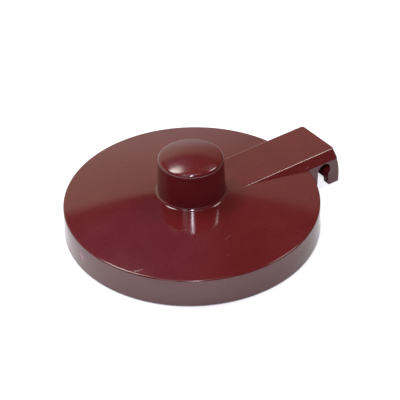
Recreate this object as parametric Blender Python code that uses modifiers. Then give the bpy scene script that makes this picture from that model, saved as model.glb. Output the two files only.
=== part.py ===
"""Hinged pot lid in glossy maroon plastic, moulded in one piece.

A round disc with a gently domed top, a skirt and a finger knob carries an arm that
runs out past the rim. The arm ends in two hooked cheeks, open downward, that snap
over the hinge pin of the pot. The whole moulding is a shell: the knob, the arm and
the bridge to the hooks are hollow from below.

Metres, +Z up. The arm runs along +X, and the lid stands on its skirt at Z = 0. The
origin is the middle of the footprint, between the back of the skirt and the hooks.
"""

import math

import bmesh
import bpy

MM = 0.001

# Skirt and disc
LID_RADIUS = 52.5 * MM          # at the rim, where the top meets the skirt
SKIRT_HEIGHT = 12.3 * MM
SKIRT_DRAFT = 0.16 * MM         # the skirt is this much wider at its foot
WALL = 2.2 * MM                 # the shell's thickness
RIM_ROUND = 0.6 * MM
SKIRT_FOOT_ROUND = 0.4 * MM
TOP_RISE = 4.2 * MM             # from the rim up to the foot of the knob
TOP_CROWN = 0.28 * MM           # how far the slope bulges above a straight cone
INNER_CORNER_ROUND = 1.4 * MM   # under the rim, between the top and the skirt

# Knob
KNOB_FOOT_RADIUS = 13.95 * MM
KNOB_TOP_RADIUS = 13.35 * MM
KNOB_HEIGHT = 22.4 * MM         # crown of the knob above the rim
KNOB_DOME_RADIUS = 43.5 * MM    # of the spherical top
KNOB_SHOULDER = 1.5 * MM        # rounding between the dome and the side
KNOB_INNER_ROUND = 1.0 * MM     # the same corner inside the hollow
KNOB_FOOT_FILLET = 1.2 * MM
KNOB_MOUTH_ROUND = 1.0 * MM     # edge of the hollow, under the lid

# Hinge arm
ARM_WIDTH = 27.2 * MM
ARM_TOP_HEIGHT = 3.54 * MM      # level top of the arm above the rim
ARM_SIDE_SLOPE = 3.17 * MM      # the sides slope at 45 degrees over this height
ARM_EDGE_ROUND = 0.4 * MM
END_EDGE_ROUND = 0.8 * MM       # across the end of the arm's top
END_CORNER_ROUND = 1.8 * MM     # where the end wall turns into the cheeks
KEYHOLE_EDGE_ROUND = 0.15 * MM  # round the slot for the pin
CHEEK = 3.2 * MM                # thickness of each hooked cheek

# Hinge hooks, measured from the pin's axis
HINGE_REACH = 6.25 * MM         # from the foot of the skirt to the pin's axis
HINGE_DROP = 3.6 * MM           # pin's axis below the rim
BORE_RADIUS = 3.3 * MM
THROAT_WIDTH = 5.6 * MM         # the pin snaps through this slot
THROAT_FLARE = 0.7 * MM         # the outer jaw leans back toward the mouth
END_TOP_REACH = 7.85 * MM       # from the pin's axis to the end of the arm's top
END_FOOT_REACH = 9.35 * MM      # to the lower edge of the end wall
END_UPRIGHT = 1.1 * MM          # straight part of the end, below the sloping sides
JAW_SETBACK = 0.7 * MM          # the jaws stand back from the end wall
JAW_FOOT_ROUND = 0.6 * MM
END_WALL_CLEARANCE = 2.7 * MM   # foot of the end wall above the foot of the jaws

# Small clearances between the hollows
SKIRT_CLEARANCE = 0.2 * MM      # the bridge's hollow stays clear of the skirt
UNDER_ARM_MARGIN = 0.3 * MM     # the arm's hollow stays inside the skirt
JAW_MARGIN = 0.3 * MM           # the bridge's hollow stops short of the jaws
JAW_GAP_ROUND = 0.5 * MM        # slanted corners over the gap between the jaws

# Smoothness
TURN_STEPS = 96
BORE_STEPS = 22
DOME_STEPS = 6
SHOULDER_STEPS = 6
CROWN_STEPS = 4
FILLET_STEPS = 3

# Worked out from the sizes above
SKIRT_FOOT_RADIUS = LID_RADIUS + SKIRT_DRAFT
HINGE_FROM_AXIS = SKIRT_FOOT_RADIUS + HINGE_REACH
HINGE_HEIGHT = SKIRT_HEIGHT - HINGE_DROP
END_FROM_AXIS = HINGE_FROM_AXIS + END_FOOT_REACH
LID_AXIS_X = (SKIRT_FOOT_RADIUS - END_FROM_AXIS) / 2
ARM_TOP = SKIRT_HEIGHT + ARM_TOP_HEIGHT
ARM_TOP_WIDTH = ARM_WIDTH - 2 * ARM_SIDE_SLOPE
OVERCUT = 2.0 * MM              # how far a cutter stands out of what it cuts

PLASTIC_COLOUR = (0.115, 0.014, 0.018, 1.0)


def clear_scene():
    """Remove whatever the scene holds."""
    for obj in list(bpy.data.objects):
        bpy.data.objects.remove(obj, do_unlink=True)
    for mesh in list(bpy.data.meshes):
        bpy.data.meshes.remove(mesh)


def new_collection(name):
    """Make a collection in the scene."""
    collection = bpy.data.collections.new(name)
    bpy.context.scene.collection.children.link(collection)
    return collection


def plastic_material():
    """Glossy maroon moulded plastic."""
    material = bpy.data.materials.new("maroon_gloss_plastic")
    material.use_nodes = True
    shader = material.node_tree.nodes["Principled BSDF"]
    shader.inputs["Base Color"].default_value = PLASTIC_COLOUR
    shader.inputs["Roughness"].default_value = 0.14
    shader.inputs["Metallic"].default_value = 0.0
    return material


def arc(centre, radius, start, end, steps):
    """Points on an arc, angles in degrees from +X toward +Z."""
    points = []
    for step in range(steps + 1):
        angle = math.radians(start + (end - start) * step / steps)
        points.append((centre[0] + radius * math.cos(angle), centre[1] + radius * math.sin(angle)))
    return points


def crowned(start, end, crown, steps):
    """Points from start to end on a shallow arc that bulges up by crown."""
    points = []
    for step in range(steps + 1):
        share = step / steps
        bulge = 4 * crown * share * (1 - share)
        points.append((start[0] + (end[0] - start[0]) * share,
                       start[1] + (end[1] - start[1]) * share + bulge))
    return points


def fillet(before, corner, after, radius, steps=FILLET_STEPS):
    """Points of the arc that rounds the corner between two straight runs."""
    to_before = (before[0] - corner[0], before[1] - corner[1])
    to_after = (after[0] - corner[0], after[1] - corner[1])
    reach_before = math.hypot(*to_before)
    reach_after = math.hypot(*to_after)
    unit_before = (to_before[0] / reach_before, to_before[1] / reach_before)
    unit_after = (to_after[0] / reach_after, to_after[1] / reach_after)
    cosine = unit_before[0] * unit_after[0] + unit_before[1] * unit_after[1]
    half_angle = math.acos(max(-1.0, min(1.0, cosine))) / 2
    tangent = min(radius / math.tan(half_angle), 0.45 * reach_before, 0.45 * reach_after)
    radius = tangent * math.tan(half_angle)
    middle = (unit_before[0] + unit_after[0], unit_before[1] + unit_after[1])
    reach_centre = radius / math.sin(half_angle) / math.hypot(*middle)
    centre = (corner[0] + middle[0] * reach_centre, corner[1] + middle[1] * reach_centre)
    first = (corner[0] + unit_before[0] * tangent, corner[1] + unit_before[1] * tangent)
    last = (corner[0] + unit_after[0] * tangent, corner[1] + unit_after[1] * tangent)
    start = math.degrees(math.atan2(first[1] - centre[1], first[0] - centre[0]))
    sweep = math.degrees(math.atan2(last[1] - centre[1], last[0] - centre[0])) - start
    sweep = (sweep + 180.0) % 360.0 - 180.0
    return arc(centre, radius, start, start + sweep, steps)


def rounded_outline(corners):
    """Points of an outline given as (x, z, rounding) corners, its ends left sharp."""
    points = [corners[0][:2]]
    for before, corner, after in zip(corners, corners[1:], corners[2:]):
        if corner[2] > 0:
            points += fillet(before, corner, after, corner[2])
        else:
            points.append(corner[:2])
    points.append(corners[-1][:2])
    return points


def domed_end(crown_height, dome_radius, side_radius, shoulder, steps, shoulder_steps):
    """Profile of a knob's end: a spherical dome from the axis, then its round shoulder."""
    dome_centre = (0.0, crown_height - dome_radius)
    lean = math.degrees(math.asin((side_radius - shoulder) / (dome_radius - shoulder)))
    reach = (dome_radius - shoulder) * math.cos(math.radians(lean))
    shoulder_centre = (side_radius - shoulder, dome_centre[1] + reach)
    dome = arc(dome_centre, dome_radius, 90.0, 90.0 - lean, steps)
    edge = arc(shoulder_centre, shoulder, 90.0 - lean, 0.0, shoulder_steps)
    return dome + edge[1:]


def turned(name, profile, collection):
    """Turn a profile about the lid's axis. It runs down the outer side from the top."""
    mesh = bpy.data.meshes.new(name)
    edges = [(index, index + 1) for index in range(len(profile) - 1)]
    mesh.from_pydata([(x, 0.0, z) for x, z in profile], edges, [])
    obj = bpy.data.objects.new(name, mesh)
    obj.location.x = LID_AXIS_X
    collection.objects.link(obj)
    screw = obj.modifiers.new("Turn", "SCREW")
    screw.steps = TURN_STEPS
    screw.render_steps = TURN_STEPS
    screw.use_merge_vertices = True
    screw.merge_threshold = 0.00001
    screw.use_smooth_shade = True
    return obj


def outline_solid(name, points, thickness, collection):
    """Extrude an outline in X and Z to a solid, centred on the plane Y = 0."""
    curve = bpy.data.curves.new(name, "CURVE")
    curve.dimensions = "2D"
    curve.fill_mode = "BOTH"
    curve.extrude = thickness / 2
    spline = curve.splines.new("POLY")
    spline.points.add(len(points) - 1)
    for point, (x, z) in zip(spline.points, points):
        point.co = (x, z, 0.0, 1.0)
    spline.use_cyclic_u = True
    guide = bpy.data.objects.new(name + "_outline", curve)
    guide.rotation_euler.x = math.radians(90)
    guide.location.x = LID_AXIS_X
    collection.objects.link(guide)
    bpy.context.view_layer.update()
    mesh = bpy.data.meshes.new_from_object(guide.evaluated_get(bpy.context.evaluated_depsgraph_get()))
    solid = bmesh.new()
    solid.from_mesh(mesh)
    bmesh.ops.remove_doubles(solid, verts=solid.verts, dist=0.00001)
    bmesh.ops.dissolve_limit(solid, angle_limit=math.radians(0.5), verts=solid.verts, edges=solid.edges)
    bmesh.ops.recalc_face_normals(solid, faces=solid.faces)
    solid.to_mesh(mesh)
    solid.free()
    obj = bpy.data.objects.new(name, mesh)
    obj.matrix_world = guide.matrix_world
    collection.objects.link(obj)
    bpy.data.objects.remove(guide, do_unlink=True)
    bpy.data.curves.remove(curve)
    return obj


def rooflike_solid(name, start, end, half_top, top, half_width, foot, collection):
    """A bar along X with a flat top and 45 degree shoulders, for the arm's hollow."""
    drop = half_width - half_top
    section = [(-half_width, foot), (half_width, foot), (half_width, top - drop),
               (half_top, top), (-half_top, top), (-half_width, top - drop)]
    solid = bmesh.new()
    corners = [solid.verts.new((start, y, z)) for y, z in section]
    face = solid.faces.new(corners)
    bulk = bmesh.ops.extrude_face_region(solid, geom=[face])
    moved = [item for item in bulk["geom"] if isinstance(item, bmesh.types.BMVert)]
    bmesh.ops.translate(solid, vec=(end - start, 0.0, 0.0), verts=moved)
    bmesh.ops.recalc_face_normals(solid, faces=solid.faces)
    mesh = bpy.data.meshes.new(name)
    solid.to_mesh(mesh)
    solid.free()
    obj = bpy.data.objects.new(name, mesh)
    obj.location.x = LID_AXIS_X
    collection.objects.link(obj)
    return obj


def mark_cutter(obj):
    """Keep a cutter out of renders and show it as a wire."""
    obj.hide_render = True
    obj.display_type = "WIRE"


def add_boolean(obj, other, operation):
    """Join another solid to this one, or cut with it."""
    modifier = obj.modifiers.new(other.name, "BOOLEAN")
    modifier.operation = operation
    modifier.solver = "EXACT"
    modifier.object = other
    mark_cutter(other)


def outer_profile():
    """Outside of the disc and knob, from the crown of the knob to the skirt's foot."""
    knob_foot = (KNOB_FOOT_RADIUS, SKIRT_HEIGHT + TOP_RISE)
    rim = (LID_RADIUS, SKIRT_HEIGHT)
    skirt_foot = (SKIRT_FOOT_RADIUS, 0.0)
    knob_end = domed_end(SKIRT_HEIGHT + KNOB_HEIGHT, KNOB_DOME_RADIUS, KNOB_TOP_RADIUS,
                         KNOB_SHOULDER, DOME_STEPS, SHOULDER_STEPS)
    slope = crowned(knob_foot, rim, TOP_CROWN, CROWN_STEPS)
    points = list(knob_end)
    points += fillet(knob_end[-1], knob_foot, slope[1], KNOB_FOOT_FILLET)
    points += slope[1:-1]
    points += fillet(slope[-2], rim, skirt_foot, RIM_ROUND)
    points += fillet(rim, skirt_foot, (0.0, 0.0), SKIRT_FOOT_ROUND, 2)
    points.append((0.0, 0.0))
    return points


def inner_profile():
    """The hollow under the shell, one wall inside the outer profile."""
    mouth = (KNOB_FOOT_RADIUS - WALL, SKIRT_HEIGHT + TOP_RISE - WALL)
    corner = (LID_RADIUS - WALL, SKIRT_HEIGHT - WALL)
    foot = (SKIRT_FOOT_RADIUS - WALL, 0.0)
    knob_end = domed_end(SKIRT_HEIGHT + KNOB_HEIGHT - WALL, KNOB_DOME_RADIUS - WALL,
                         KNOB_TOP_RADIUS - WALL, KNOB_INNER_ROUND, DOME_STEPS // 2, FILLET_STEPS)
    slope = crowned(mouth, corner, TOP_CROWN, CROWN_STEPS)
    points = list(knob_end)
    points += fillet(knob_end[-1], mouth, slope[1], KNOB_MOUTH_ROUND, 2)
    points += slope[1:-1]
    points += fillet(slope[-2], corner, foot, INNER_CORNER_ROUND)
    points += [foot, (foot[0], -OVERCUT), (0.0, -OVERCUT)]
    return points


def arm_outline():
    """Side view of the arm, its end wall run down to the foot, and the keyhole for the pin."""
    hinge = HINGE_FROM_AXIS
    inner_jaw = hinge - BORE_RADIUS
    throat = inner_jaw + THROAT_WIDTH
    start = KNOB_FOOT_RADIUS - WALL
    end_top = hinge + END_TOP_REACH
    upright_foot = ARM_TOP - ARM_SIDE_SLOPE - END_UPRIGHT
    lip = math.degrees(math.asin((throat - hinge) / BORE_RADIUS)) - 90.0
    bore = arc((hinge, HINGE_HEIGHT), BORE_RADIUS, lip, 180.0, BORE_STEPS)
    end = [(end_top, ARM_TOP), (end_top, upright_foot)]
    end += end_bulge(end_top, upright_foot)
    jaw = rounded_outline([
        (END_FROM_AXIS, 0.0, 0.0),
        (throat + THROAT_FLARE, 0.0, JAW_FOOT_ROUND),
        (*bore[0], 0.0)])
    return [(start, ARM_TOP)] + end + jaw + bore[1:] + [(inner_jaw, 0.0), (start, 0.0)]


def end_bulge(end_top, upright_foot):
    """The end wall below its upright part: an arc that turns upright at its foot."""
    out = END_FROM_AXIS - end_top
    drop = upright_foot - END_WALL_CLEARANCE
    radius = (drop * drop + out * out) / (2 * out)
    sweep = math.degrees(math.asin(min(1.0, drop / radius)))
    return arc((END_FROM_AXIS - radius, END_WALL_CLEARANCE), radius, sweep, 0.0, 6)[1:]


def slope_arm_sides(arm):
    """Cut the two long top edges of the arm to 45 degrees."""
    solid = bmesh.new()
    solid.from_mesh(arm.data)
    to_world = arm.matrix_world
    long_edges = []
    for edge in solid.edges:
        ends = [to_world @ vert.co for vert in edge.verts]
        level = all(abs(end.z - ARM_TOP) < 0.01 * MM for end in ends)
        if level and abs(ends[0].y - ends[1].y) < 0.01 * MM:
            long_edges.append(edge)
    bmesh.ops.bevel(solid, geom=long_edges, offset=ARM_SIDE_SLOPE, offset_type="OFFSET",
                    segments=1, profile=0.5, affect="EDGES", material=-1)
    solid.to_mesh(arm.data)
    solid.free()


def edge_rounding(ends, normals):
    """Rounding of an edge of the arm, from where it lies and how its two faces look."""
    reach = max(BORE_RADIUS, THROAT_WIDTH - BORE_RADIUS + THROAT_FLARE) + 0.01 * MM
    in_keyhole = all(abs(end.x - HINGE_FROM_AXIS) < reach for end in ends)
    if in_keyhole and max(end.z for end in ends) > JAW_FOOT_ROUND:
        return KEYHOLE_EDGE_ROUND
    sideways, outward = sorted(normals, key=lambda normal: normal.x)
    at_end = ends[0].x > HINGE_FROM_AXIS and outward.x > 0.8 and abs(sideways.x) < 0.2
    if not at_end or sideways.z < -0.9:
        return ARM_EDGE_ROUND
    if sideways.z > 0.9:
        return END_EDGE_ROUND
    return END_CORNER_ROUND


def round_arm_edges(arm):
    """Round the arm's edges: wide where the end wall turns, finest round the keyhole."""
    widest = max(ARM_EDGE_ROUND, END_EDGE_ROUND, END_CORNER_ROUND, KEYHOLE_EDGE_ROUND)
    solid = bmesh.new()
    solid.from_mesh(arm.data)
    turn = arm.matrix_world.to_3x3()
    weights = solid.edges.layers.float.new("bevel_weight_edge")
    for edge in solid.edges:
        if edge.calc_face_angle(0.0) > math.radians(40):
            ends = [turn @ vert.co for vert in edge.verts]
            normals = [turn @ face.normal for face in edge.link_faces]
            edge[weights] = edge_rounding(ends, normals) / widest
    solid.to_mesh(arm.data)
    solid.free()
    edges = arm.modifiers.new("Edge rounding", "BEVEL")
    edges.width = widest
    edges.segments = 3
    edges.limit_method = "WEIGHT"
    edges.use_clamp_overlap = True


def make_arm(collection):
    """The arm's outer body, from inside the knob out to the hooks."""
    arm = outline_solid("arm_body", arm_outline(), ARM_WIDTH, collection)
    slope_arm_sides(arm)
    round_arm_edges(arm)
    return arm


def make_jaw_step(collection):
    """What is cut away under the end wall, so that the jaws stand back from it."""
    back = END_FROM_AXIS - JAW_SETBACK
    out = END_FROM_AXIS + OVERCUT
    outline = [(out, END_WALL_CLEARANCE), (back, END_WALL_CLEARANCE)]
    outline += fillet((back, END_WALL_CLEARANCE), (back, 0.0), (0.0, 0.0), JAW_FOOT_ROUND)
    outline += [(outline[-1][0], -OVERCUT), (out, -OVERCUT)]
    return outline_solid("jaw_step", outline, ARM_WIDTH + 2 * OVERCUT, collection)


def make_arm_hollow(collection):
    """The hollow under the arm, inside the skirt."""
    half_top = ARM_TOP_WIDTH / 2 - WALL * math.tan(math.radians(22.5))
    hollow = rooflike_solid("arm_hollow", KNOB_FOOT_RADIUS - WALL, LID_RADIUS, half_top,
                            ARM_TOP - WALL, half_top + 2 * ARM_SIDE_SLOPE,
                            SKIRT_HEIGHT - WALL - 2 * ARM_SIDE_SLOPE, collection)
    inside = turned("inside_of_skirt", [(0.0, ARM_TOP + OVERCUT),
                                        (LID_RADIUS - WALL - UNDER_ARM_MARGIN, ARM_TOP + OVERCUT),
                                        (LID_RADIUS - WALL - UNDER_ARM_MARGIN, -OVERCUT),
                                        (0.0, -OVERCUT)], collection)
    add_boolean(hollow, inside, "INTERSECT")
    return hollow


def make_bridge_hollow(collection):
    """The space between the cheeks, from the skirt out to the end wall."""
    half_top = ARM_TOP_WIDTH / 2 - WALL * math.tan(math.radians(22.5))
    end = HINGE_FROM_AXIS - BORE_RADIUS + THROAT_WIDTH - JAW_MARGIN
    hollow = rooflike_solid("bridge_hollow", LID_RADIUS - WALL, end, half_top,
                            ARM_TOP - WALL, ARM_WIDTH / 2 - CHEEK, -OVERCUT, collection)
    skirt = turned("skirt_left_standing", [(0.0, ARM_TOP + OVERCUT),
                                           (SKIRT_FOOT_RADIUS + SKIRT_CLEARANCE, ARM_TOP + OVERCUT),
                                           (SKIRT_FOOT_RADIUS + SKIRT_CLEARANCE, -2 * OVERCUT),
                                           (0.0, -2 * OVERCUT)], collection)
    add_boolean(hollow, skirt, "DIFFERENCE")
    return hollow


def make_jaw_gap(collection):
    """The gap between the two jaws, below the end wall."""
    start = HINGE_FROM_AXIS
    end = END_FROM_AXIS + OVERCUT
    half = ARM_WIDTH / 2 - CHEEK
    return rooflike_solid("jaw_gap", start, end, half - JAW_GAP_ROUND, END_WALL_CLEARANCE,
                          half, -OVERCUT, collection)


def make_lid(parts, cutters, material):
    """Join the disc, the knob and the arm, then hollow them out from below."""
    lid = turned("lid", outer_profile(), parts)
    lid.data.materials.append(material)
    add_boolean(lid, make_arm(cutters), "UNION")
    add_boolean(lid, make_jaw_step(cutters), "DIFFERENCE")
    add_boolean(lid, turned("shell_hollow", inner_profile(), cutters), "DIFFERENCE")
    add_boolean(lid, make_arm_hollow(cutters), "DIFFERENCE")
    add_boolean(lid, make_bridge_hollow(cutters), "DIFFERENCE")
    add_boolean(lid, make_jaw_gap(cutters), "DIFFERENCE")
    return lid


def main():
    clear_scene()
    parts = new_collection("pot_lid")
    cutters = new_collection("pot_lid_cutters")
    make_lid(parts, cutters, plastic_material())


if __name__ == "__main__":
    main()
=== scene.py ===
"""Looks of a hinged pot lid in glossy maroon plastic, moulded in one piece.

The lid is turned and extruded again at a finer grain than the solid it stands for. It gets
its gloss, its handling marks and painted highlight lines on the arm's edges, a white table with
painted light and shade in what the lid mirrors, soft lamps and a camera.
"""

import math

import bmesh
import bpy
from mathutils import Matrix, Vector


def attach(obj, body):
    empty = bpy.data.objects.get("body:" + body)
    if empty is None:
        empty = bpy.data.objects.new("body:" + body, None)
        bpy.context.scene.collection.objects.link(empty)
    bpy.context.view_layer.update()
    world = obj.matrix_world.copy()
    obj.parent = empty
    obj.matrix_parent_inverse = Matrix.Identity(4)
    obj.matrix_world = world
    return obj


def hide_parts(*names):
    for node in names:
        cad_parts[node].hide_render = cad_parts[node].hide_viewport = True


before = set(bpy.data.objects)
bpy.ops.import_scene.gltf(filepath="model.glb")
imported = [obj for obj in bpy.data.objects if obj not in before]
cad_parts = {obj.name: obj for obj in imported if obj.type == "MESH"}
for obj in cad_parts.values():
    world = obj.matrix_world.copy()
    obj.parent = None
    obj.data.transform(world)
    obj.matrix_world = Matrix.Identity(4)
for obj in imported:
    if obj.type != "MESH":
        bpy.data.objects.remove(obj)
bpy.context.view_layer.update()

bl_info = {
    "name": "Hinged Pot Lid",
    "version": (1, 0, 0),
    "blender": (4, 5, 0),
    "location": "3D View > Sidebar > Pot Lid",
    "description": "Moulds a hinged pot lid, gives it its gloss and sets its table",
    "category": "Object",
}

MM = 0.001

# Vertices this close are made one, and places this close count as the same.
MERGE = 0.001 * MM
MERGE_JOINED = 0.002 * MM
SAME_PLACE = 0.01 * MM

# How far cutters stand past what they cut, and the clearances between the hollows.
OVERCUT = 2.0 * MM
UNDER_ARM_MARGIN = 0.3 * MM
JAW_MARGIN = 0.3 * MM
SKIRT_CLEARANCE = 0.2 * MM
JAW_GAP_ROUND = 0.5 * MM

# Steps of a full turn and of each arc.
TURN_STEPS = 288
OUTSIDE_STEPS = {"dome": 14, "shoulder": 14, "fillet": 10, "top": 14, "rim": 7, "foot": 4}
INSIDE_STEPS = {"dome": 6, "shoulder": 6, "mouth": 6, "top": 8, "corner": 7}
ARM_STEPS = {"end_wall": 10, "jaw": 5, "bore": 40, "jaw_step": 6, "edges": 5}

# The arc of the top stops short of its two rounded corners, by these shares of their rounding.
PAST_CORNER = 1.2
BELOW_KNOB_FOOT = 0.1
ABOVE_RIM = 0.17

# Half of the slope of the arm's sides, and the angles from which edges are rounded or crisp.
HALF_SLOPE = 22.5
ROUNDED_FROM = 40
CRISP_FROM = 30

# How much of a face's normal points out, aside or up before it counts as facing that way.
LOOKS_OUT = 0.8
LOOKS_ASIDE = 0.2
LOOKS_UP = 0.9


def length(name, description, millimetres):
    """A size that the user may change, given in millimetres."""
    return bpy.props.FloatProperty(name=name, description=description,
                                   default=millimetres * MM, min=0.0,
                                   precision=5, unit="LENGTH")


def level(name, description, value, top=1.0):
    """A plain number that the user may change."""
    return bpy.props.FloatProperty(name=name, description=description,
                                   default=value, min=0.0, max=top, precision=3)


def colour(name, description, value):
    """A colour that the user may change."""
    return bpy.props.FloatVectorProperty(name=name, description=description, default=value,
                                         subtype="COLOR", size=3, min=0.0, max=1.0)


class PotLidSizes(bpy.types.PropertyGroup):
    """Sizes of the moulding."""

    lid_radius: length("Lid radius", "Rim, where the top meets the skirt", 52.5)
    skirt_height: length("Skirt height", "From the foot of the skirt to the rim", 12.3)
    skirt_draft: length("Skirt draft", "How much wider the skirt is at its foot", 0.16)
    wall: length("Wall", "Thickness of the shell", 2.2)
    rim_round: length("Rim rounding", "Rounding of the rim", 0.6)
    skirt_foot_round: length("Foot rounding", "Rounding of the skirt's foot", 0.4)
    top_rise: length("Top rise", "From the rim up to the foot of the knob", 4.2)
    top_crown: length("Top crown", "How far the top bulges above a straight cone", 0.28)
    inner_corner: length("Inner corner", "Rounding under the rim", 1.4)

    knob_foot_radius: length("Knob foot", "Radius of the knob at its foot", 13.95)
    knob_top_radius: length("Knob top", "Radius of the knob below its shoulder", 13.35)
    knob_height: length("Knob height", "Crown of the knob above the rim", 22.4)
    knob_dome: length("Knob dome", "Radius of the knob's domed end", 43.5)
    knob_shoulder: length("Knob shoulder", "Rounding between the dome and the side", 1.5)
    knob_inner_round: length("Knob inner corner", "The same corner inside", 1.0)
    knob_fillet: length("Knob fillet", "Fillet round the foot of the knob", 1.2)
    knob_mouth: length("Knob mouth", "Rounding where the knob's hollow opens", 1.0)

    arm_width: length("Arm width", "Across the arm's two sides", 27.2)
    arm_top: length("Arm top", "Level top of the arm above the rim", 3.54)
    arm_slope: length("Arm slope", "Height of the arm's 45 degree sides", 3.17)
    arm_edge: length("Arm edges", "Rounding of the arm's edges", 0.4)
    end_edge: length("End edge", "Rounding across the end of the arm's top", 0.8)
    end_corner: length("End corners", "Rounding where the end wall turns into the cheeks", 1.8)
    keyhole_edge: length("Keyhole edge", "Rounding round the slot for the pin", 0.15)
    cheek: length("Cheek", "Thickness of each hooked cheek", 3.2)

    hinge_reach: length("Hinge reach", "From the skirt's foot to the pin's axis", 6.25)
    hinge_drop: length("Hinge drop", "Pin's axis below the rim", 3.6)
    bore_radius: length("Bore radius", "Seat of the pin", 3.3)
    throat: length("Throat", "Slot that the pin snaps through", 5.6)
    throat_flare: length("Throat flare", "How far the outer jaw leans back", 0.7)
    end_top: length("Arm end", "From the pin's axis to the end of the top", 7.85)
    end_foot: length("End foot", "From the pin's axis to the foot of the end wall", 9.35)
    end_upright: length("End upright", "Straight part of the end, below the slopes", 1.1)
    jaw_setback: length("Jaw setback", "The jaws stand back from the end wall", 0.7)
    jaw_round: length("Jaw rounding", "Rounding of the jaws' feet", 0.6)
    end_clearance: length("End clearance", "Foot of the end wall above the jaws' feet", 2.7)


class PotLidLook(bpy.types.PropertyGroup):
    """Finish of the plastic and white of the table."""

    plastic: colour("Plastic", "Body of the plastic", (0.117, 0.0098, 0.0112))
    gloss: level("Roughness", "Roughness of the moulded surface", 0.08)
    filmed: colour("Filmed plastic", "The plastic under its handling film", (0.140, 0.0152, 0.0165))
    film_dulling: level("Film dulling", "Roughness that the handling film adds", 0.025)
    crown_dulling: level("Crown dulling", "Roughness that fingers left on the knob's crown", 0.10)
    waviness: level("Waviness", "Strength of the moulded skin's slight waviness", 0.35)
    # Mark is also the tone of the painted highlight lines on the arm's edges.
    mark: colour("Mark", "Rubbed and scratched plastic", (0.42, 0.22, 0.22))
    spot: colour("Pink spot", "The small pink spot on the skirt", (0.46, 0.13, 0.28))
    table: colour("Table", "White table under the lid", (0.50, 0.50, 0.50))


def sizes():
    """The sizes that the user set."""
    return bpy.context.scene.pot_lid_sizes


def look():
    """The finish that the user set."""
    return bpy.context.scene.pot_lid_look


def places():
    """Heights, and distances from the lid's axis, that follow from the sizes."""
    s = sizes()
    foot = s.lid_radius + s.skirt_draft
    hinge = foot + s.hinge_reach
    end = hinge + s.end_foot
    return {"foot": foot, "hinge": hinge, "end": end, "axis": (foot - end) / 2,
            "arm_top": s.skirt_height + s.arm_top,
            "pin": s.skirt_height - s.hinge_drop,
            "half_top": s.arm_width / 2 - s.arm_slope}


class Outline:
    """A line of vertices drawn in the plane Y = 0, ready to be turned or filled."""

    def __init__(self, x, z):
        self.bm = bmesh.new()
        self.first = self.bm.verts.new((x, 0.0, z))
        self.tip = self.first

    def here(self):
        """The point that the line has come to."""
        return Vector((self.tip.co.x, self.tip.co.z))

    def line(self, x, z):
        """Draw a straight line to a point."""
        vert = self.bm.verts.new((x, 0.0, z))
        self.bm.edges.new((self.tip, vert))
        self.tip = vert

    def close(self):
        """Draw a straight line back to the start."""
        self.bm.edges.new((self.tip, self.first))

    def turn(self, x, z, degrees, steps):
        """Draw an arc about a centre; a positive angle runs from +Z toward +X."""
        arc = bmesh.ops.spin(self.bm, geom=[self.tip], cent=(x, 0.0, z), axis=(0.0, 1.0, 0.0),
                             angle=math.radians(degrees), steps=steps)
        self.tip = next(item for item in arc["geom_last"] if isinstance(item, bmesh.types.BMVert))

    def corner(self, corner, after, radius, steps):
        """Draw up to a corner and round it, ready to go on toward the next point."""
        corner = Vector(corner)
        back = (self.here() - corner).normalized()
        ahead = (Vector(after) - corner).normalized()
        half = back.angle(ahead) / 2
        start = corner + back * (radius / math.tan(half))
        centre = corner + (back + ahead).normalized() * (radius / math.sin(half))
        side = back.x * ahead.y - back.y * ahead.x
        sweep = math.degrees(math.pi - 2 * half)
        self.line(*start)
        self.turn(*centre, math.copysign(sweep, side), steps)

    def crowned(self, x, z, crown, steps):
        """Draw a shallow arc that bulges upward by crown."""
        here = self.here()
        there = Vector((x, z))
        chord = (there - here).length
        radius = (chord * chord / 4 + crown * crown) / (2 * crown)
        across = (there - here).normalized()
        down = Vector((across.y, -across.x))
        centre = (here + there) / 2 + down * (radius - crown)
        self.turn(*centre, math.degrees(2 * math.asin(chord / 2 / radius)), steps)


def draw_knob_end(crown, dome, side, shoulder, steps):
    """Start an outline at the crown of the knob and draw its dome and shoulder."""
    lean = math.degrees(math.asin((side - shoulder) / (dome - shoulder)))
    outline = Outline(0.0, crown)
    outline.turn(0.0, crown - dome, lean, steps["dome"])
    reach = (dome - shoulder) * math.cos(math.radians(lean))
    outline.turn(side - shoulder, crown - dome + reach, 90.0 - lean, steps["shoulder"])
    return outline


def top_slope(inner, inner_round, outer, outer_round):
    """Where the arc of the top starts and ends, between its two rounded corners."""
    start = (inner[0] + PAST_CORNER * inner_round, inner[1] - BELOW_KNOB_FOOT * inner_round)
    end = (outer[0] - PAST_CORNER * outer_round, outer[1] + ABOVE_RIM * outer_round)
    return start, end


def draw_outside():
    """Outside of the disc and knob, from the crown to the axis at the foot."""
    s = sizes()
    steps = OUTSIDE_STEPS
    knob_foot = (s.knob_foot_radius, s.skirt_height + s.top_rise)
    rim = (s.lid_radius, s.skirt_height)
    foot = (places()["foot"], 0.0)
    slope_start, slope_end = top_slope(knob_foot, s.knob_fillet, rim, s.rim_round)
    outline = draw_knob_end(s.skirt_height + s.knob_height, s.knob_dome, s.knob_top_radius,
                            s.knob_shoulder, steps)
    outline.corner(knob_foot, slope_start, s.knob_fillet, steps["fillet"])
    outline.line(*slope_start)
    outline.crowned(*slope_end, s.top_crown, steps["top"])
    outline.corner(rim, foot, s.rim_round, steps["rim"])
    outline.corner(foot, (0.0, 0.0), s.skirt_foot_round, steps["foot"])
    outline.line(0.0, 0.0)
    return outline


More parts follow.
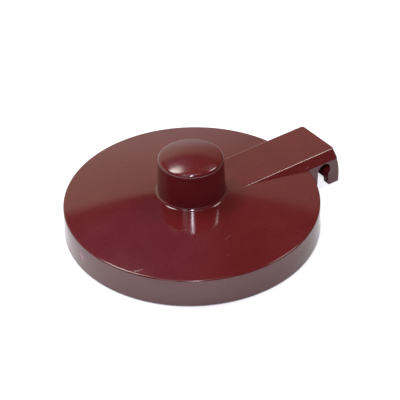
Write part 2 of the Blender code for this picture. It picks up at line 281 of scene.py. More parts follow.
def draw_inside():
    """The hollow of the shell, one wall inside the outside."""
    s = sizes()
    steps = INSIDE_STEPS
    mouth = (s.knob_foot_radius - s.wall, s.skirt_height + s.top_rise - s.wall)
    corner = (s.lid_radius - s.wall, s.skirt_height - s.wall)
    foot = (places()["foot"] - s.wall, 0.0)
    slope_start, slope_end = top_slope(mouth, s.knob_mouth, corner, s.inner_corner)
    outline = draw_knob_end(s.skirt_height + s.knob_height - s.wall, s.knob_dome - s.wall,
                            s.knob_top_radius - s.wall, s.knob_inner_round, steps)
    outline.corner(mouth, slope_start, s.knob_mouth, steps["mouth"])
    outline.line(*slope_start)
    outline.crowned(*slope_end, s.top_crown, steps["top"])
    outline.corner(corner, foot, s.inner_corner, steps["corner"])
    outline.line(*foot)
    outline.line(foot[0], -OVERCUT)
    outline.line(0.0, -OVERCUT)
    return outline


def draw_arm():
    """Side view of the arm, its end wall run down to the foot, and the slot for the pin."""
    s = sizes()
    p = places()
    hinge = p["hinge"]
    top = p["arm_top"]
    start = s.knob_foot_radius - s.wall
    throat = hinge - s.bore_radius + s.throat
    lip = Vector((throat, p["pin"] - math.sqrt(s.bore_radius ** 2 - (throat - hinge) ** 2)))
    upright_foot = top - s.arm_slope - s.end_upright
    out = s.end_foot - s.end_top
    drop = upright_foot - s.end_clearance
    bow = (drop * drop + out * out) / (2 * out)
    lean = math.degrees(math.asin(drop / bow))
    gap = math.degrees(math.asin((throat - hinge) / s.bore_radius))
    outline = Outline(start, 0.0)
    outline.line(start, top)
    outline.line(hinge + s.end_top, top)
    outline.line(hinge + s.end_top, upright_foot)
    outline.turn(p["end"] - bow, s.end_clearance, lean, ARM_STEPS["end_wall"])
    outline.line(p["end"], 0.0)
    outline.corner((throat + s.throat_flare, 0.0), lip, s.jaw_round, ARM_STEPS["jaw"])
    outline.line(*lip)
    outline.turn(hinge, p["pin"], -(270.0 - gap), ARM_STEPS["bore"])
    outline.line(hinge - s.bore_radius, 0.0)
    outline.close()
    return outline


def draw_jaw_step():
    """What is cut away under the end wall, so that the jaws stand back from it."""
    s = sizes()
    p = places()
    back = p["end"] - s.jaw_setback
    out = p["end"] + OVERCUT
    outline = Outline(out, s.end_clearance)
    outline.line(back, s.end_clearance)
    outline.corner((back, 0.0), (0.0, 0.0), s.jaw_round, ARM_STEPS["jaw_step"])
    outline.line(back - s.jaw_round, -OVERCUT)
    outline.line(out, -OVERCUT)
    outline.close()
    return outline


def add_piece(name, bm):
    """Make an object of a bmesh, moved from the lid's axis to its place."""
    bmesh.ops.remove_doubles(bm, verts=bm.verts, dist=MERGE)
    bmesh.ops.translate(bm, verts=bm.verts, vec=(places()["axis"], 0.0, 0.0))
    bmesh.ops.recalc_face_normals(bm, faces=bm.faces)
    mesh = bpy.data.meshes.new(name)
    bm.to_mesh(mesh)
    bm.free()
    obj = bpy.data.objects.new(name, mesh)
    bpy.context.scene.collection.objects.link(obj)
    return obj


def turned(name, outline):
    """Turn an outline all round the lid's axis."""
    bm = outline.bm
    bmesh.ops.spin(bm, geom=bm.verts[:] + bm.edges[:], cent=(0.0, 0.0, 0.0),
                   axis=(0.0, 0.0, 1.0), angle=math.tau, steps=TURN_STEPS, use_merge=True)
    return add_piece(name, bm)


def drum(name, radius, foot, top):
    """A plain round cutter about the lid's axis."""
    outline = Outline(0.0, top)
    outline.line(radius, top)
    outline.line(radius, foot)
    outline.line(0.0, foot)
    return turned(name, outline)


def filled(outline, width):
    """Fill an outline and extrude it to a slab, centred on the plane Y = 0."""
    bm = outline.bm
    bmesh.ops.remove_doubles(bm, verts=bm.verts, dist=MERGE)
    bmesh.ops.translate(bm, verts=bm.verts, vec=(0.0, -width / 2, 0.0))
    bmesh.ops.contextual_create(bm, geom=bm.edges[:])
    slab = bmesh.ops.extrude_face_region(bm, geom=bm.faces[:])
    moved = [item for item in slab["geom"] if isinstance(item, bmesh.types.BMVert)]
    bmesh.ops.translate(bm, verts=moved, vec=(0.0, width, 0.0))
    bmesh.ops.recalc_face_normals(bm, faces=bm.faces)
    return bm


def slope_sides(bm, top, offset):
    """Cut both long top edges of a bar along X back to 45 degree slopes."""
    edges = [edge for edge in bm.edges
             if all(vert.co.z > top - SAME_PLACE for vert in edge.verts)
             and abs(edge.verts[0].co.y - edge.verts[1].co.y) < SAME_PLACE]
    bmesh.ops.bevel(bm, geom=edges, offset=offset, offset_type="OFFSET", segments=1,
                    profile=0.5, affect="EDGES", material=-1)


def edge_rounding(edge):
    """Rounding of an edge of the arm, from where it lies and how its two faces look."""
    s = sizes()
    hinge = places()["hinge"]
    ends = [vert.co for vert in edge.verts]
    reach = max(s.bore_radius, s.throat - s.bore_radius + s.throat_flare) + SAME_PLACE
    in_keyhole = all(abs(end.x - hinge) < reach for end in ends)
    if in_keyhole and max(end.z for end in ends) > s.jaw_round:
        return s.keyhole_edge
    normals = sorted((face.normal for face in edge.link_faces), key=lambda normal: normal.x)
    sideways, outward = normals
    at_end = ends[0].x > hinge and outward.x > LOOKS_OUT and abs(sideways.x) < LOOKS_ASIDE
    if not at_end or sideways.z < -LOOKS_UP:
        return s.arm_edge
    return s.end_edge if sideways.z > LOOKS_UP else s.end_corner


def make_arm():
    """The arm's body: a slab of its side view with sloping sides and rounded edges."""
    s = sizes()
    bm = filled(draw_arm(), s.arm_width)
    slope_sides(bm, places()["arm_top"], s.arm_slope)
    widest = max(s.arm_edge, s.end_edge, s.end_corner, s.keyhole_edge)
    weights = bm.edges.layers.float.new("bevel_weight_edge")
    for edge in bm.edges:
        if edge.calc_face_angle(0.0) > math.radians(ROUNDED_FROM):
            edge[weights] = edge_rounding(edge) / widest
    arm = add_piece("arm_body", bm)
    rounding = arm.modifiers.new("Edge rounding", "BEVEL")
    rounding.width = widest
    rounding.segments = ARM_STEPS["edges"]
    rounding.limit_method = "WEIGHT"
    rounding.use_clamp_overlap = True
    return arm


def make_bar(name, start, end, half_top, top, half_width, foot):
    """A bar along X with a flat top and 45 degree shoulders, to hollow the arm with."""
    bm = bmesh.new()
    bmesh.ops.create_cube(bm, size=1.0)
    bmesh.ops.scale(bm, verts=bm.verts, vec=(end - start, 2 * half_width, top - foot))
    bmesh.ops.translate(bm, verts=bm.verts, vec=((start + end) / 2, 0.0, (top + foot) / 2))
    slope_sides(bm, top, half_width - half_top)
    return add_piece(name, bm)


def cut(obj, other, operation):
    """Join another solid to this one, or cut with it."""
    modifier = obj.modifiers.new(other.name, "BOOLEAN")
    modifier.operation = operation
    modifier.solver = "EXACT"
    modifier.object = other


def settle(obj, helpers):
    """Turn the object's modifiers into its mesh and remove the helpers."""
    graph = bpy.context.evaluated_depsgraph_get()
    mesh = bpy.data.meshes.new_from_object(obj.evaluated_get(graph))
    mesh.name = obj.name
    obj.modifiers.clear()
    obj.data = mesh
    for helper in helpers:
        bpy.data.objects.remove(helper, do_unlink=True)


def arm_cutters():
    """The hollow under the arm, the space between the cheeks, and the jaws' step and gap."""
    s = sizes()
    p = places()
    top = p["arm_top"] - s.wall
    half_top = p["half_top"] - s.wall * math.tan(math.radians(HALF_SLOPE))
    half_gap = s.arm_width / 2 - s.cheek
    inside = s.lid_radius - s.wall
    outer_jaw = p["hinge"] - s.bore_radius + s.throat
    under_arm = make_bar("under_arm", s.knob_foot_radius - s.wall, s.lid_radius, half_top, top,
                         half_top + 2 * s.arm_slope, s.skirt_height - s.wall - 2 * s.arm_slope)
    inner_drum = drum("inner_drum", inside - UNDER_ARM_MARGIN, -OVERCUT, top + OVERCUT)
    cut(under_arm, inner_drum, "INTERSECT")
    bridge = make_bar("bridge_gap", inside, outer_jaw - JAW_MARGIN, half_top, top, half_gap,
                      -OVERCUT)
    outer_drum = drum("outer_drum", p["foot"] + SKIRT_CLEARANCE, -2 * OVERCUT, top + OVERCUT)
    cut(bridge, outer_drum, "DIFFERENCE")
    jaw_gap = make_bar("jaw_gap", p["hinge"], p["end"] + OVERCUT, half_gap - JAW_GAP_ROUND,
                       s.end_clearance, half_gap, -OVERCUT)
    jaw_step = add_piece("jaw_step", filled(draw_jaw_step(), s.arm_width + 2 * OVERCUT))
    return [jaw_step, under_arm, bridge, jaw_gap], [inner_drum, outer_drum]


def shade_mesh(obj):
    """Smooth the turned faces, and keep crisp what meets at a real edge."""
    mesh = obj.data
    bm = bmesh.new()
    bm.from_mesh(mesh)
    bmesh.ops.remove_doubles(bm, verts=bm.verts, dist=MERGE_JOINED)
    bmesh.ops.dissolve_degenerate(bm, dist=MERGE_JOINED, edges=bm.edges)
    for face in bm.faces:
        face.smooth = True
    for edge in bm.edges:
        skins = {face.material_index for face in edge.link_faces}
        gentle = edge.calc_face_angle(0.0) < math.radians(CRISP_FROM)
        edge.smooth = len(skins) == 1 and gentle
    for face in bm.faces:
        face.material_index = 0
    bm.to_mesh(mesh)
    bm.free()
    weighted = obj.modifiers.new("Weighted normals", "WEIGHTED_NORMAL")
    weighted.keep_sharp = True


class POTLID_OT_moulding(bpy.types.Operator):
    """Turn the disc and knob, join the arm and hollow the moulding out from below"""

    bl_idname = "pot_lid.moulding"
    bl_label = "Mould the lid"

    def execute(self, context):
        disc_skin = bpy.data.materials.new("disc_skin")
        arm_skin = bpy.data.materials.new("arm_skin")
        lid = turned("moulded_lid", draw_outside())
        arm = make_arm()
        hollow = turned("shell_hollow", draw_inside())
        cutters, drums = arm_cutters()
        for obj in (lid, hollow):
            obj.data.materials.append(disc_skin)
        for obj in (arm, *cutters):
            obj.data.materials.append(arm_skin)
        cut(lid, arm, "UNION")
        for cutter in (hollow, *cutters):
            cut(lid, cutter, "DIFFERENCE")
        for modifier in lid.modifiers:
            modifier.material_mode = "TRANSFER"
        settle(lid, [arm, hollow, *cutters, *drums])
        shade_mesh(lid)
        lid.data.materials.clear()
        for skin in (disc_skin, arm_skin):
            bpy.data.materials.remove(skin)
        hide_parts("lid")
        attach(lid, "root")
        return {"FINISHED"}


def node(tree, kind, at, **values):
    """Add a node and its settings; in_Name or in_0 gives an input its value or its source."""
    item = tree.nodes.new(kind)
    item.location = at
    for key, value in values.items():
        if not key.startswith("in_"):
            setattr(item, key, value)
            continue
        name = key.removeprefix("in_").replace("_", " ")
        socket = item.inputs[int(name) if name.isdigit() else name]
        if isinstance(value, bpy.types.NodeSocket):
            tree.links.new(value, socket)
        else:
            socket.default_value = value
    return item


def numbered(values):
    """Values for the first inputs of a node, in their order."""
    return {"in_%d" % index: value for index, value in enumerate(values)}


def maths(tree, at, operation, *values, **settings):
    """The result of a sum, product or the like."""
    item = node(tree, "ShaderNodeMath", at, operation=operation, **settings, **numbered(values))
    return item.outputs[0]


def vectors(tree, at, operation, *values, **settings):
    """The node of a sum, product or the like of vectors."""
    return node(tree, "ShaderNodeVectorMath", at, operation=operation, **settings,
                **numbered(values))


def ramp(tree, at, value, start, end, kind="SMOOTHSTEP", **settings):
    """A share that grows from 0 where the value is at start to 1 where it is at end."""
    item = node(tree, "ShaderNodeMapRange", at, interpolation_type=kind, in_Value=value,
                in_From_Min=start, in_From_Max=end, **settings)
    return item.outputs["Result"]


def noise(tree, at, place, scale, detail, **settings):
    """The node of a cloudy pattern; scale is in clouds to the metre."""
    return node(tree, "ShaderNodeTexNoise", at, in_Vector=place, in_Scale=scale,
                in_Detail=detail, **settings)


def mix(tree, at, share, under, over, blend="MIX"):
    """One colour laid over another by a share."""
    item = node(tree, "ShaderNodeMix", at, data_type="RGBA", blend_type=blend,
                in_0=share, in_6=under, in_7=over)
    return item.outputs[2]


def toward(tree, at, vector, direction):
    """How far a place or a ray points in a direction."""
    return vectors(tree, at, "DOT_PRODUCT", vector, tuple(direction)).outputs["Value"]


def new_group(name, inputs, output):
    """A shared effect that takes some vectors or values and gives one value."""
    group = bpy.data.node_groups.new(name, "ShaderNodeTree")
    for label, kind in inputs:
        group.interface.new_socket(label, in_out="INPUT", socket_type=kind)
    group.interface.new_socket(output, in_out="OUTPUT", socket_type="NodeSocketFloat")
    given = node(group, "NodeGroupInput", (-800, 0))
    result = node(group, "NodeGroupOutput", (800, 0))
    return group, given, result


# Scales of the patterns are in repeats to the metre; pairs are where a share starts and is full.
SCRATCH_GRAIN = 900.0
SCRATCH_UNEVEN = (0.9, 0.55)
SCRATCH_CORE = 0.2
HAIRLINE_CELLS = 150.0
HAIRLINE_THREAD = (0.03, 0.005)
HAIRLINE_BENDS = 45.0
HAIRLINE_SWAY = (0.012, 0.012, 0.012)
HAIRLINE_PATCHES = 60.0
HAIRLINE_WORN = (0.5, 0.68)
FILM_CLOUDS = 38.0
FILM_RAGGED = 0.6
FILM_FLECKS = 1300.0
FILM_FLECK_SHARE = 0.45
FILM_ONSET = (0.38, 0.66)
SKIN_WAVES = 110.0
SKIN_GRAIN = 2600.0


def scratch_group():
    """A line between two points, soft across and broken up along its run."""
    vector = "NodeSocketVector"
    group, given, result = new_group(
        "scratch",
        (("Place", vector), ("Start", vector), ("End", vector), ("Width", "NodeSocketFloat")),
        "Mask")
    place, start, end, widest = (given.outputs[name] for name in ("Place", "Start", "End", "Width"))
    along = vectors(group, (-600, 200), "SUBTRACT", end, start).outputs[0]
    away = vectors(group, (-600, 0), "SUBTRACT", place, start).outputs[0]
    shadow = vectors(group, (-400, 100), "DOT_PRODUCT", away, along).outputs["Value"]
    square = vectors(group, (-400, 250), "DOT_PRODUCT", along, along).outputs["Value"]
    share = maths(group, (-250, 150), "DIVIDE", shadow, square, use_clamp=True)
    nearest = vectors(group, (-100, 150), "SCALE", along, in_Scale=share).outputs[0]
    offset = vectors(group, (50, 50), "DISTANCE", away, nearest).outputs["Value"]
    grain = noise(group, (-400, -200), place, SCRATCH_GRAIN, 2.0).outputs["Fac"]
    uneven = maths(group, (-200, -200), "MULTIPLY_ADD", grain, *SCRATCH_UNEVEN)
    width = maths(group, (0, -200), "MULTIPLY", uneven, widest)
    core = maths(group, (200, -250), "MULTIPLY", width, SCRATCH_CORE)
    mask = ramp(group, (400, 0), offset, width, core)
    group.links.new(mask, result.inputs["Mask"])
    return group


def hairline_group():
    """Fine wiping hairlines that run in many directions, in patches."""
    group, given, result = new_group("hairlines", (("Place", "NodeSocketVector"),), "Mask")
    place = given.outputs["Place"]
    bends = noise(group, (-600, 200), place, HAIRLINE_BENDS, 1.0).outputs["Color"]
    bent = vectors(group, (-400, 200), "MULTIPLY_ADD", bends, HAIRLINE_SWAY, place).outputs[0]
    cells = node(group, "ShaderNodeTexVoronoi", (-200, 200), feature="DISTANCE_TO_EDGE",
                 in_Vector=bent, in_Scale=HAIRLINE_CELLS)
    lines = ramp(group, (0, 200), cells.outputs["Distance"], *HAIRLINE_THREAD)
    patches = noise(group, (-200, -100), place, HAIRLINE_PATCHES, 2.0).outputs["Fac"]
    worn = ramp(group, (0, -100), patches, *HAIRLINE_WORN)
    group.links.new(maths(group, (300, 0), "MULTIPLY", lines, worn), result.inputs["Mask"])
    return group


def film_group():
    """A cloudy film left by handling."""
    group, given, result = new_group("handling_film", (("Place", "NodeSocketVector"),), "Mask")
    place = given.outputs["Place"]
    clouds = noise(group, (-500, 100), place, FILM_CLOUDS, 4.0, in_Roughness=FILM_RAGGED)
    flecks = noise(group, (-500, -100), place, FILM_FLECKS, 2.0)
    both = node(group, "ShaderNodeMix", (-250, 0), in_0=FILM_FLECK_SHARE,
                in_2=clouds.outputs["Fac"], in_3=flecks.outputs["Fac"])
    film = ramp(group, (0, 0), both.outputs[0], *FILM_ONSET)
    group.links.new(film, result.inputs["Mask"])
    return group


def skin_group():
    """Height of the moulded skin: a slight waviness with a very fine grain on its crests."""
    group, given, result = new_group("moulded_skin", (("Place", "NodeSocketVector"),), "Height")
    place = given.outputs["Place"]
    waves = noise(group, (-300, 100), place, SKIN_WAVES, 1.0).outputs["Fac"]
    grain = noise(group, (-300, -100), place, SKIN_GRAIN, 2.0).outputs["Fac"]
    height = maths(group, (0, 0), "MULTIPLY_ADD", grain, waves, waves)
    group.links.new(height, result.inputs["Height"])
    return group


# Each scratch: its two ends and its width in millimetres, and how strongly it shows.
MARKS = (
    ((-52.09, -25.65, 12.48), (-50.74, -26.30, 12.60), 0.55, 0.36),
    ((-50.74, -26.30, 12.60), (-49.24, -26.66, 12.75), 0.50, 0.30),
    ((-25.99, -18.69, 15.44), (-24.92, -19.01, 15.49), 0.38, 0.15),
    ((-24.92, -19.01, 15.49), (-23.63, -19.62, 15.53), 0.38, 0.12),
    ((-14.57, -32.60, 14.70), (-12.93, -32.21, 14.78), 0.45, 0.12),
    ((-12.93, -32.21, 14.78), (-11.45, -31.77, 14.84), 0.40, 0.11),
    ((-18.39, -39.89, 13.78), (-18.60, -39.70, 13.79), 0.40, 0.18),
    ((41.63, -12.86, 13.41), (43.10, -12.76, 13.51), 0.40, 0.22),
    ((28.12, -28.54, 13.20), (29.77, -29.22, 12.97), 0.40, 0.08),
)
PINK_SPOT = ((-60.36, 0.35, 6.95), (-60.36, -0.15, 6.40), 1.5)

# Width in millimetres and strength of the painted highlight line on the arm's edges, and how
# far down their rounding it lies.
EDGE_HIGHLIGHT_LINE = (0.34, 0.28)
EDGE_HIGHLIGHT_SHARE = 0.3

PLASTIC_IOR = 1.58
SKIN_DEPTH = 0.02 * MM
HAIRLINE_SHARE = 0.015
HAIRLINE_DULLING = 0.04
# Roughness added along the scratches and the painted edge highlight lines.
WEAR_AND_HIGHLIGHT_DULLING = 0.20
CROWN_FADE = 0.4 * MM


def arm_edge_highlights():
    """Painted highlight lines along the arm's two long top edges, written as MARKS are."""
    s = sizes()
    p = places()
    start = (p["axis"] + s.knob_foot_radius) / MM
    end = (p["axis"] + p["hinge"] + s.end_top - s.end_edge) / MM
    high = (p["arm_top"] - EDGE_HIGHLIGHT_SHARE * s.arm_edge) / MM
    half = p["half_top"] / MM
    return [((start, side, high), (end, side, high), *EDGE_HIGHLIGHT_LINE) for side in (-half, half)]


def dome_edge():
    """Height at which the knob's dome turns into its shoulder."""
    s = sizes()
    lean = math.asin((s.knob_top_radius - s.knob_shoulder) / (s.knob_dome - s.knob_shoulder))
    return s.skirt_height + s.knob_height - s.knob_dome * (1 - math.cos(lean))


def add_scratch(tree, height, scratch, place, start, end, width):
    """The mask of one scratch; its ends and width are in millimetres."""
    item = node(tree, "ShaderNodeGroup", (-1500, height), node_tree=scratch, in_Place=place,
                in_Start=[value * MM for value in start], in_End=[value * MM for value in end],
                in_Width=width * MM)
    return item.outputs["Mask"]


def wear_and_edge_highlights(tree, scratch, place):
    """All scratches and the painted edge highlight lines in one mask; where two meet, the stronger
    shows.
    """
    worn = 0.0
    for row, (*line, strength) in enumerate((*MARKS, *arm_edge_highlights())):
        mask = add_scratch(tree, -200 * row, scratch, place, *line)
        weaker = maths(tree, (-1300, -200 * row), "MULTIPLY", mask, strength)
        worn = maths(tree, (-1100, -200 * row), "MAXIMUM", worn, weaker)
    return worn


def plastic_colour(tree, film, hairlines, worn, spot):
    """The plastic under its film, its hairlines, its scratches, the painted edge highlight lines
    and the pink spot.
    """
    settings = look()
    mark_and_highlight_tone = (*settings.mark, 1.0)
    faint = maths(tree, (-900, 300), "MULTIPLY", hairlines, HAIRLINE_SHARE)
    body = mix(tree, (-900, 100), film, (*settings.plastic, 1.0), (*settings.filmed, 1.0))
    lined = mix(tree, (-700, 100), faint, body, mark_and_highlight_tone)
    # worn holds the scratches and the painted highlight lines on the arm's edges.
    marks_and_highlights = mix(tree, (-500, 100), worn, lined, mark_and_highlight_tone)
    return mix(tree, (-300, 100), spot, marks_and_highlights, (*settings.spot, 1.0))


def plastic_roughness(tree, place, film, hairlines, worn):
    """The gloss, dulled by film, hairlines, scratches and the painted edge highlight lines, and by
    fingers on the crown.
    """
    settings = look()
    filmed = maths(tree, (-700, -100), "MULTIPLY_ADD", film, settings.film_dulling, settings.gloss)
    lined = maths(tree, (-500, -100), "MULTIPLY_ADD", hairlines, HAIRLINE_DULLING, filmed)
    marks_and_highlights = maths(tree, (-300, -100), "MULTIPLY_ADD", worn, WEAR_AND_HIGHLIGHT_DULLING, lined)
    height = node(tree, "ShaderNodeSeparateXYZ", (-700, -300), in_0=place).outputs["Z"]
    crown = ramp(tree, (-500, -300), height, dome_edge(), dome_edge() + CROWN_FADE,
                 in_To_Max=settings.crown_dulling)
    return maths(tree, (-150, -200), "ADD", marks_and_highlights, crown)


def plastic_material():
    """Glossy maroon plastic with its handling marks and painted highlight lines on the arm's edges.
    """
    material = bpy.data.materials.new("maroon_gloss_plastic")
    material.use_nodes = True
    tree = material.node_tree
    place = node(tree, "ShaderNodeTexCoord", (-1800, 0)).outputs["Object"]
    hairlines, film, skin = (
        node(tree, "ShaderNodeGroup", (-1500, 300 + 150 * row), node_tree=effect,
             in_Place=place).outputs[0]
        for row, effect in enumerate((hairline_group(), film_group(), skin_group())))
    scratch = scratch_group()
    # Scratches and painted edge highlight lines in one mask.
    worn = wear_and_edge_highlights(tree, scratch, place)
    spot = add_scratch(tree, 900, scratch, place, *PINK_SPOT)
    bump = node(tree, "ShaderNodeBump", (-300, -400), in_Strength=look().waviness,
                in_Distance=SKIN_DEPTH, in_Height=skin)
    tone = plastic_colour(tree, film, hairlines, worn, spot)
    roughness = plastic_roughness(tree, place, film, hairlines, worn)
    shader = tree.nodes["Principled BSDF"]
    shader.inputs["IOR"].default_value = PLASTIC_IOR
    tree.links.new(tone, shader.inputs["Base Color"])
    tree.links.new(roughness, shader.inputs["Roughness"])
    tree.links.new(bump.outputs["Normal"], shader.inputs["Normal"])
    return material


class POTLID_OT_finish(bpy.types.Operator):
    """Give the plastic its gloss, its handling marks and painted highlight lines on the arm's edges
    """

    bl_idname = "pot_lid.finish"
    bl_label = "Finish the plastic"

    def execute(self, context):
        lid = bpy.data.objects["moulded_lid"]
        lid.data.materials.append(plastic_material())
        return {"FINISHED"}


CAMERA_PLACE = (-0.24268, -0.34901, 0.32638)
CAMERA_TURN = (53.1449, 0.9229, -35.0881)
CAMERA_LENS = 115.51
CAMERA_SENSOR = 36.0
CAMERA_NEAR = 0.01
LOOK_AZIMUTH = 33.94

# Each lamp: its name, its azimuth and elevation, half the angle that it fills, all in degrees
# and seen from the lid, then its brightness and, where it isn't white, its tint.
LAMP_DISTANCE = 1.2
LAMPS = (
    ("front_key", 179.5, 52.7, 2.3, 180.0, (0.95, 0.96, 1.0)),
    ("front_halo", 179.5, 54.2, 7.0, 11.0, (0.70, 0.60, 1.0)),
    ("front_left", -153.0, 51.5, 7.0, 5.0),
    ("left_window", -70.0, 61.0, 7.5, 16.0),
    ("left_pane", -46.0, 58.0, 4.5, 7.0),
    ("back_left", -25.0, 59.5, 4.5, 6.5, (1.0, 0.95, 0.85)),
    ("back_left_edge", -30.0, 60.5, 6.3, 6.0, (1.0, 0.97, 0.86)),
    ("right_strip", 60.0, 55.0, 7.2, 12.0, (1.0, 0.98, 0.92)),
    ("overhead", 0.0, 86.0, 14.0, 1.5),
)

# The room, and the white behind the lid. The white's upper edge fades between two elevations,
# measured from a plane that leans a little. The other pairs are how far a ray points back or
# left where the white starts and is full, and the least and most of it from right to left.
ROOM = (0.05, 0.05, 0.045)
WHITE = (1.0, 1.0, 1.0)
WHITE_BEHIND = (0.82, 0.82, 0.66)
WHITE_EDGE = (37.2, 36.2)
WHITE_EDGE_UPWARD = (-90.0, 88.4)
WHITE_BACK = (-0.3, 0.2)
WHITE_LEFT = (-0.42, 0.35)
WHITE_LEFT_SHARE = (0.15, 1.0)

# Each glow: its azimuth and elevation, the angles at which it is full and gone, and its tint.
GLOWS = (
    (-14.0, 50.5, 4.0, 15.0, (0.04, 0.08, 0.20)),
    (34.0, 53.5, 2.0, 9.0, (0.7, 0.7, 0.66)),
    (-5.0, 2.0, 5.0, 28.0, (0.16, 0.22, 0.30)),
)

# The table lies a hair below the lid. Seen by the camera it has an even glow, save a painted
# shadow right at the lid's foot. Mirrored in the lid it has painted light that brightens it toward
# one side, a painted shadow under the arm, and it is dark beyond the arm's end.
TABLE_HALF_SIDE = 3.0
TABLE_DROP = 0.1 * MM
TABLE_TINT = (1.0, 0.985, 1.01)
TABLE_SEEN = 0.72
TABLE_BRIGHT_SIDE = -165.0
TABLE_REACH = (-40.0 * MM, 66.0 * MM)
TABLE_STEEPNESS = 3.4
TABLE_MIRRORED_GAIN = 0.74
TABLE_MIRRORED_LEAST = 0.51
# Where the painted shadow under the arm starts and is full, along the arm and across it.
ARM_SHADOW_ALONG = (40.0 * MM, 44.0 * MM)
ARM_SHADOW_ACROSS = (14.5 * MM, 11.5 * MM)
BEYOND_ARM = (66.0 * MM, 78.0 * MM)
# The painted shadow at the skirt's foot is full at the first of these distances past the foot and
# gone at the second.
FOOT_SHADOW_FROM = -0.2 * MM
FOOT_SHADOW_TO = 0.55 * MM


def heading(azimuth, elevation):
    """Direction seen from the lid; azimuth 0 is away from the camera, 90 to its right."""
    turn = math.radians(LOOK_AZIMUTH + azimuth)
    rise = math.radians(elevation)
    flat = math.cos(rise)
    return Vector((math.sin(turn) * flat, math.cos(turn) * flat, math.sin(rise)))


def add_camera():
    """Look down on the lid from the front left."""
    data = bpy.data.cameras.new("Camera")
    data.lens = CAMERA_LENS
    data.sensor_width = CAMERA_SENSOR
    data.clip_start = CAMERA_NEAR
    camera = bpy.data.objects.new("Camera", data)
    camera.location = CAMERA_PLACE
    camera.rotation_euler = [math.radians(angle) for angle in CAMERA_TURN]
    bpy.context.scene.collection.objects.link(camera)
    bpy.context.scene.camera = camera


def add_lamp(name, azimuth, elevation, spread, brightness, tint=WHITE):
    """A round soft lamp in a heading; spread is half the angle that it fills, seen from the lid."""
    radius = LAMP_DISTANCE * math.tan(math.radians(spread))
    data = bpy.data.lights.new(name, "AREA")
    data.shape = "DISK"
    data.size = 2 * radius
    data.energy = brightness * (math.pi * radius) ** 2
    data.color = tint
    lamp = bpy.data.objects.new(name, data)
    direction = heading(azimuth, elevation)
    lamp.location = direction * LAMP_DISTANCE
    lamp.rotation_euler = direction.to_track_quat("Z", "Y").to_euler()
    lamp.visible_camera = False
    bpy.context.scene.collection.objects.link(lamp)


def table_mirrored(tree, place):
    """How bright the table looks to the lid's gloss: painted light toward one side, a painted
    shadow under the arm, and dark beyond the arm's end.
    """
    # Painted light: the mirrored table brightens toward one side.
    side = toward(tree, (-1200, -200), place, heading(TABLE_BRIGHT_SIDE, 0.0))
    nearness = ramp(tree, (-1050, -200), side, *TABLE_REACH, kind="LINEAR")
    steep = maths(tree, (-900, -200), "POWER", nearness, TABLE_STEEPNESS)
    bright = maths(tree, (-750, -200), "MULTIPLY_ADD", steep, TABLE_MIRRORED_GAIN,
                   TABLE_MIRRORED_LEAST)
    split = node(tree, "ShaderNodeSeparateXYZ", (-1350, -500), in_0=place)
    aside = maths(tree, (-1200, -600), "ABSOLUTE", split.outputs["Y"])
    along = ramp(tree, (-1050, -400), split.outputs["X"], *ARM_SHADOW_ALONG)
    across = ramp(tree, (-1050, -650), aside, *ARM_SHADOW_ACROSS)
    beyond = ramp(tree, (-1050, -900), split.outputs["X"], *BEYOND_ARM)
    # Painted shadow of the arm on the table.
    arm_shadow = maths(tree, (-900, -500), "MULTIPLY", along, across)
    dark = maths(tree, (-750, -600), "MAXIMUM", arm_shadow, beyond)
    lit = maths(tree, (-600, -500), "MULTIPLY_ADD", dark, -1.0, 1.0)
    return maths(tree, (-450, -300), "MULTIPLY", bright, lit)


def table_glow(tree, place):
    """How much the table glows for the camera and for the gloss, with a painted shadow right at the
    lid's foot.
    """
    rays = node(tree, "ShaderNodeLightPath", (-800, 200))
    seen = maths(tree, (-600, 200), "MULTIPLY", rays.outputs["Is Camera Ray"], TABLE_SEEN)
    glow = maths(tree, (-450, 200), "MULTIPLY_ADD", rays.outputs["Is Glossy Ray"],
                 table_mirrored(tree, place), seen)
    p = places()
    # Painted shadow at the lid's foot: the glow fades to nothing there.
    away = vectors(tree, (-600, 500), "DISTANCE", place, (p["axis"], 0.0, 0.0)).outputs["Value"]
    foot_shadow = ramp(tree, (-450, 500), away, p["foot"] + FOOT_SHADOW_FROM, p["foot"] + FOOT_SHADOW_TO,
                   kind="LINEAR")
    return maths(tree, (-300, 200), "MULTIPLY", glow, foot_shadow)


def table_material():
    """White that keeps the lid's shadow and has a glow of its own, with painted light and shade in
    it.
    """
    material = bpy.data.materials.new("white_table")
    material.use_nodes = True
    tree = material.node_tree
    tree.nodes.clear()
    place = node(tree, "ShaderNodeTexCoord", (-1550, -200)).outputs["Object"]
    white = node(tree, "ShaderNodeBsdfDiffuse", (-150, 200), in_Color=(*look().table, 1.0))
    glow = node(tree, "ShaderNodeEmission", (-150, 0), in_Color=(*TABLE_TINT, 1.0),
                in_Strength=table_glow(tree, place))
    both = node(tree, "ShaderNodeAddShader", (0, 0), in_0=white.outputs[0], in_1=glow.outputs[0])
    node(tree, "ShaderNodeOutputMaterial", (200, 0), in_Surface=both.outputs[0])
    return material


def add_table():
    """A plain white table under the lid."""
    bm = bmesh.new()
    bmesh.ops.create_grid(bm, x_segments=1, y_segments=1, size=TABLE_HALF_SIDE)
    bmesh.ops.translate(bm, verts=bm.verts, vec=(0.0, 0.0, -TABLE_DROP))
    mesh = bpy.data.meshes.new("table")
    bm.to_mesh(mesh)
    bm.free()
    mesh.materials.append(table_material())
    table = bpy.data.objects.new("table", mesh)
    bpy.context.scene.collection.objects.link(table)


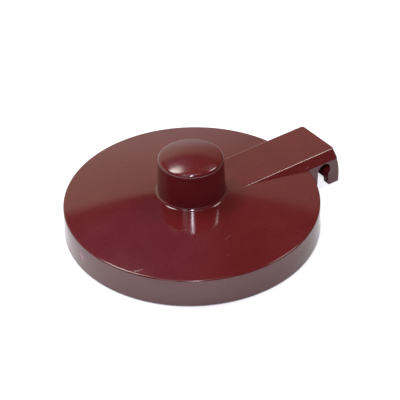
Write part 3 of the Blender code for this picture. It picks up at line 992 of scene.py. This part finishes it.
def room_shade(tree, ray):
    """White behind the lid up to a narrow edge, fading to the right, in a dim room."""
    upward = toward(tree, (-1400, 200), ray, heading(*WHITE_EDGE_UPWARD))
    back = toward(tree, (-1400, 0), ray, heading(0.0, 0.0))
    left = toward(tree, (-1400, -200), ray, heading(-90.0, 0.0))
    edge = [math.sin(math.radians(angle)) for angle in WHITE_EDGE]
    below = ramp(tree, (-1250, 300), upward, *edge)
    behind = ramp(tree, (-1250, 0), back, *WHITE_BACK)
    leftness = ramp(tree, (-1250, -300), left, *WHITE_LEFT, kind="LINEAR",
                    in_To_Min=WHITE_LEFT_SHARE[0], in_To_Max=WHITE_LEFT_SHARE[1])
    band = maths(tree, (-1100, 0), "MULTIPLY", below, behind)
    faded = maths(tree, (-950, 0), "MULTIPLY", band, leftness)
    return mix(tree, (-800, 0), faded, (*ROOM, 1.0), (*WHITE_BEHIND, 1.0))


def add_glow(tree, height, ray, shade, azimuth, elevation, inner, outer, tint):
    """The surroundings with a soft round glow added in a heading."""
    aim = toward(tree, (-1100, height), ray, heading(azimuth, elevation))
    full, gone = (math.cos(math.radians(angle)) for angle in (inner, outer))
    fade = ramp(tree, (-950, height), aim, gone, full)
    return mix(tree, (-650, height), fade, shade, (*tint, 1.0), "ADD")


def add_surroundings():
    """What the lid mirrors: the white behind it, the room and some glows; the camera sees white."""
    world = bpy.data.worlds.new("studio")
    bpy.context.scene.world = world
    world.use_nodes = True
    tree = world.node_tree
    tree.nodes.clear()
    ray = node(tree, "ShaderNodeTexCoord", (-1600, 0)).outputs["Generated"]
    shade = room_shade(tree, ray)
    for row, glow in enumerate(GLOWS):
        shade = add_glow(tree, -600 - 300 * row, ray, shade, *glow)
    seen = node(tree, "ShaderNodeLightPath", (-500, 400)).outputs["Is Camera Ray"]
    final = mix(tree, (-300, 0), seen, shade, (*WHITE, 1.0))
    background = node(tree, "ShaderNodeBackground", (-100, 0), in_Color=final)
    node(tree, "ShaderNodeOutputWorld", (100, 0), in_Surface=background.outputs[0])


class POTLID_OT_stage(bpy.types.Operator):
    """Set the camera, the white table, the lamps and the surroundings"""

    bl_idname = "pot_lid.stage"
    bl_label = "Set the stage"

    def execute(self, context):
        context.scene.view_settings.view_transform = "Standard"
        add_camera()
        add_table()
        add_surroundings()
        for lamp in LAMPS:
            add_lamp(*lamp)
        return {"FINISHED"}


class POTLID_PT_panel(bpy.types.Panel):
    """Sizes and steps of the pot lid"""

    bl_idname = "POTLID_PT_panel"
    bl_label = "Pot Lid"
    bl_space_type = "VIEW_3D"
    bl_region_type = "UI"
    bl_category = "Pot Lid"

    def draw(self, context):
        layout = self.layout
        for step in STEPS:
            layout.operator(step.bl_idname)
        for group in (sizes(), look()):
            box = layout.box()
            for name in group.bl_rna.properties.keys():
                if name not in {"rna_type", "name"}:
                    box.prop(group, name)


STEPS = (POTLID_OT_moulding, POTLID_OT_finish, POTLID_OT_stage)
CLASSES = (PotLidSizes, PotLidLook, *STEPS, POTLID_PT_panel)


def register():
    """Add the lid's settings, steps and panel."""
    for item in CLASSES:
        bpy.utils.register_class(item)
    bpy.types.Scene.pot_lid_sizes = bpy.props.PointerProperty(type=PotLidSizes)
    bpy.types.Scene.pot_lid_look = bpy.props.PointerProperty(type=PotLidLook)


def unregister():
    """Remove them again."""
    del bpy.types.Scene.pot_lid_look
    del bpy.types.Scene.pot_lid_sizes
    for item in reversed(CLASSES):
        bpy.utils.unregister_class(item)


def main():
    """Make the lid and its stage."""
    register()
    bpy.ops.pot_lid.moulding()
    bpy.ops.pot_lid.finish()
    bpy.ops.pot_lid.stage()


if __name__ == "__main__":
    main()
